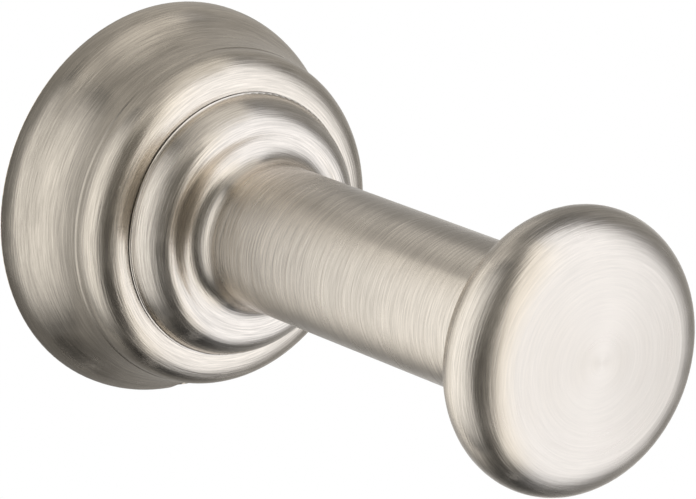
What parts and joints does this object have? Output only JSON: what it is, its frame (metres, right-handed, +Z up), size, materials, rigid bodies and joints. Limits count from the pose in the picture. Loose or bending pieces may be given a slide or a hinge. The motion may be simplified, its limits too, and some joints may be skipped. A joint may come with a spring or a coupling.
{
  "type": "towel hook",
  "caption": "Wall-mounted towel hook: turned post with a collar and a button head, on a stepped round rosette over a concealed wall bracket.",
  "frame": {"origin": "centre of the wall bracket's back face, in the plane of the wall", "axes": "-Y out from the wall along the post, +Z up, X across"},
  "size_m": [0.054, 0.0922, 0.054],
  "materials": {
    "rosette": "satin nickel plating over turned brass, brushed round the axis",
    "post": "satin nickel plating over turned brass, brushed round the axis",
    "screw_steel": "plain stainless steel",
    "bracket_steel": "zinc plated steel"
  },
  "bodies": {
    "root": {"rosette": "rosette", "post": "post", "fixing_screw": "screw_steel", "wall_bracket": "bracket_steel", "grub_screw": "screw_steel"}
  },
  "joints": []
}
